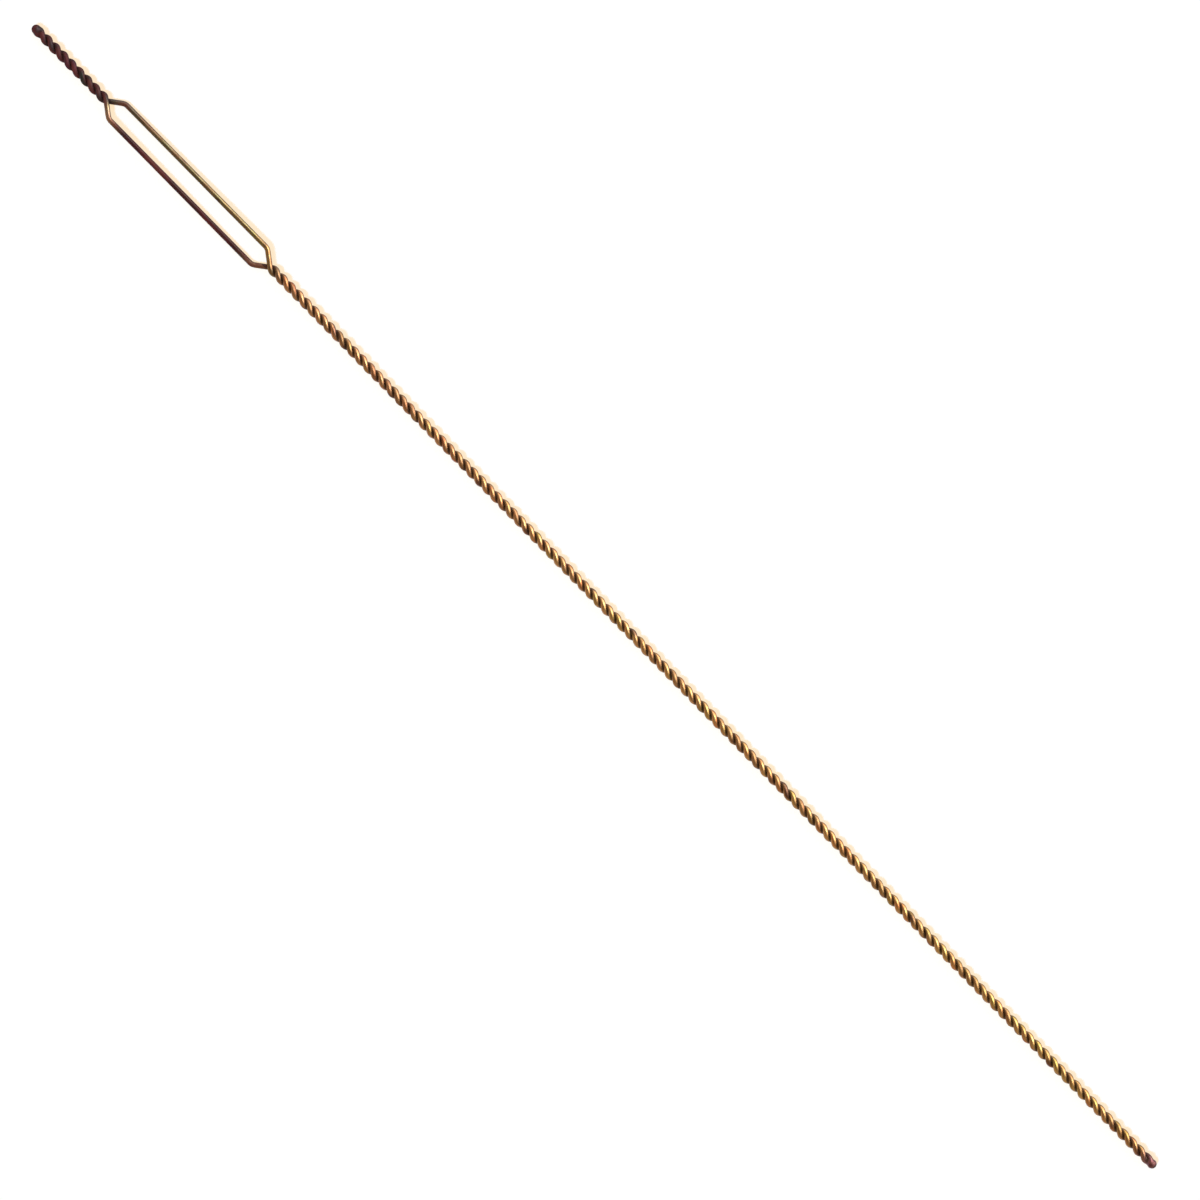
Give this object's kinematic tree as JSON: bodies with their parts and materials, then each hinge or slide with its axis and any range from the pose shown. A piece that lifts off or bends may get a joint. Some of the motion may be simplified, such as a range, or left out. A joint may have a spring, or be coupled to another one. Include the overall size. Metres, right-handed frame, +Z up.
{
  "type": "inoculating loop",
  "caption": "Straight wire hand tool: a tightly right-hand twisted brass shaft that opens into a long narrow eye and closes again in a short blackened twisted tip, with a fused bead at each end.",
  "frame": {"origin": "on the surface the tool lies on, at the middle of its length, on its axis", "axes": "+X along the tool towards the working tip, +Z up from the surface, +Y to the left of someone holding the shaft and looking at the tip"},
  "size_m": [0.22, 0.0038, 0.0015],
  "materials": {
    "brass_wire": "satin",
    "warm_brass_wire": "satin",
    "heat_stained_wire": "satin",
    "blackened_wire": "matte",
    "fused_end": "satin"
  },
  "bodies": {
    "root": {"wire_a_shaft": "brass_wire", "wire_a_eye": "warm_brass_wire", "wire_a_tail": "blackened_wire", "wire_b_shaft": "brass_wire", "wire_b_eye": "heat_stained_wire", "wire_b_tail": "blackened_wire", "tip_bead": "blackened_wire", "butt_bead": "fused_end"}
  },
  "joints": []
}
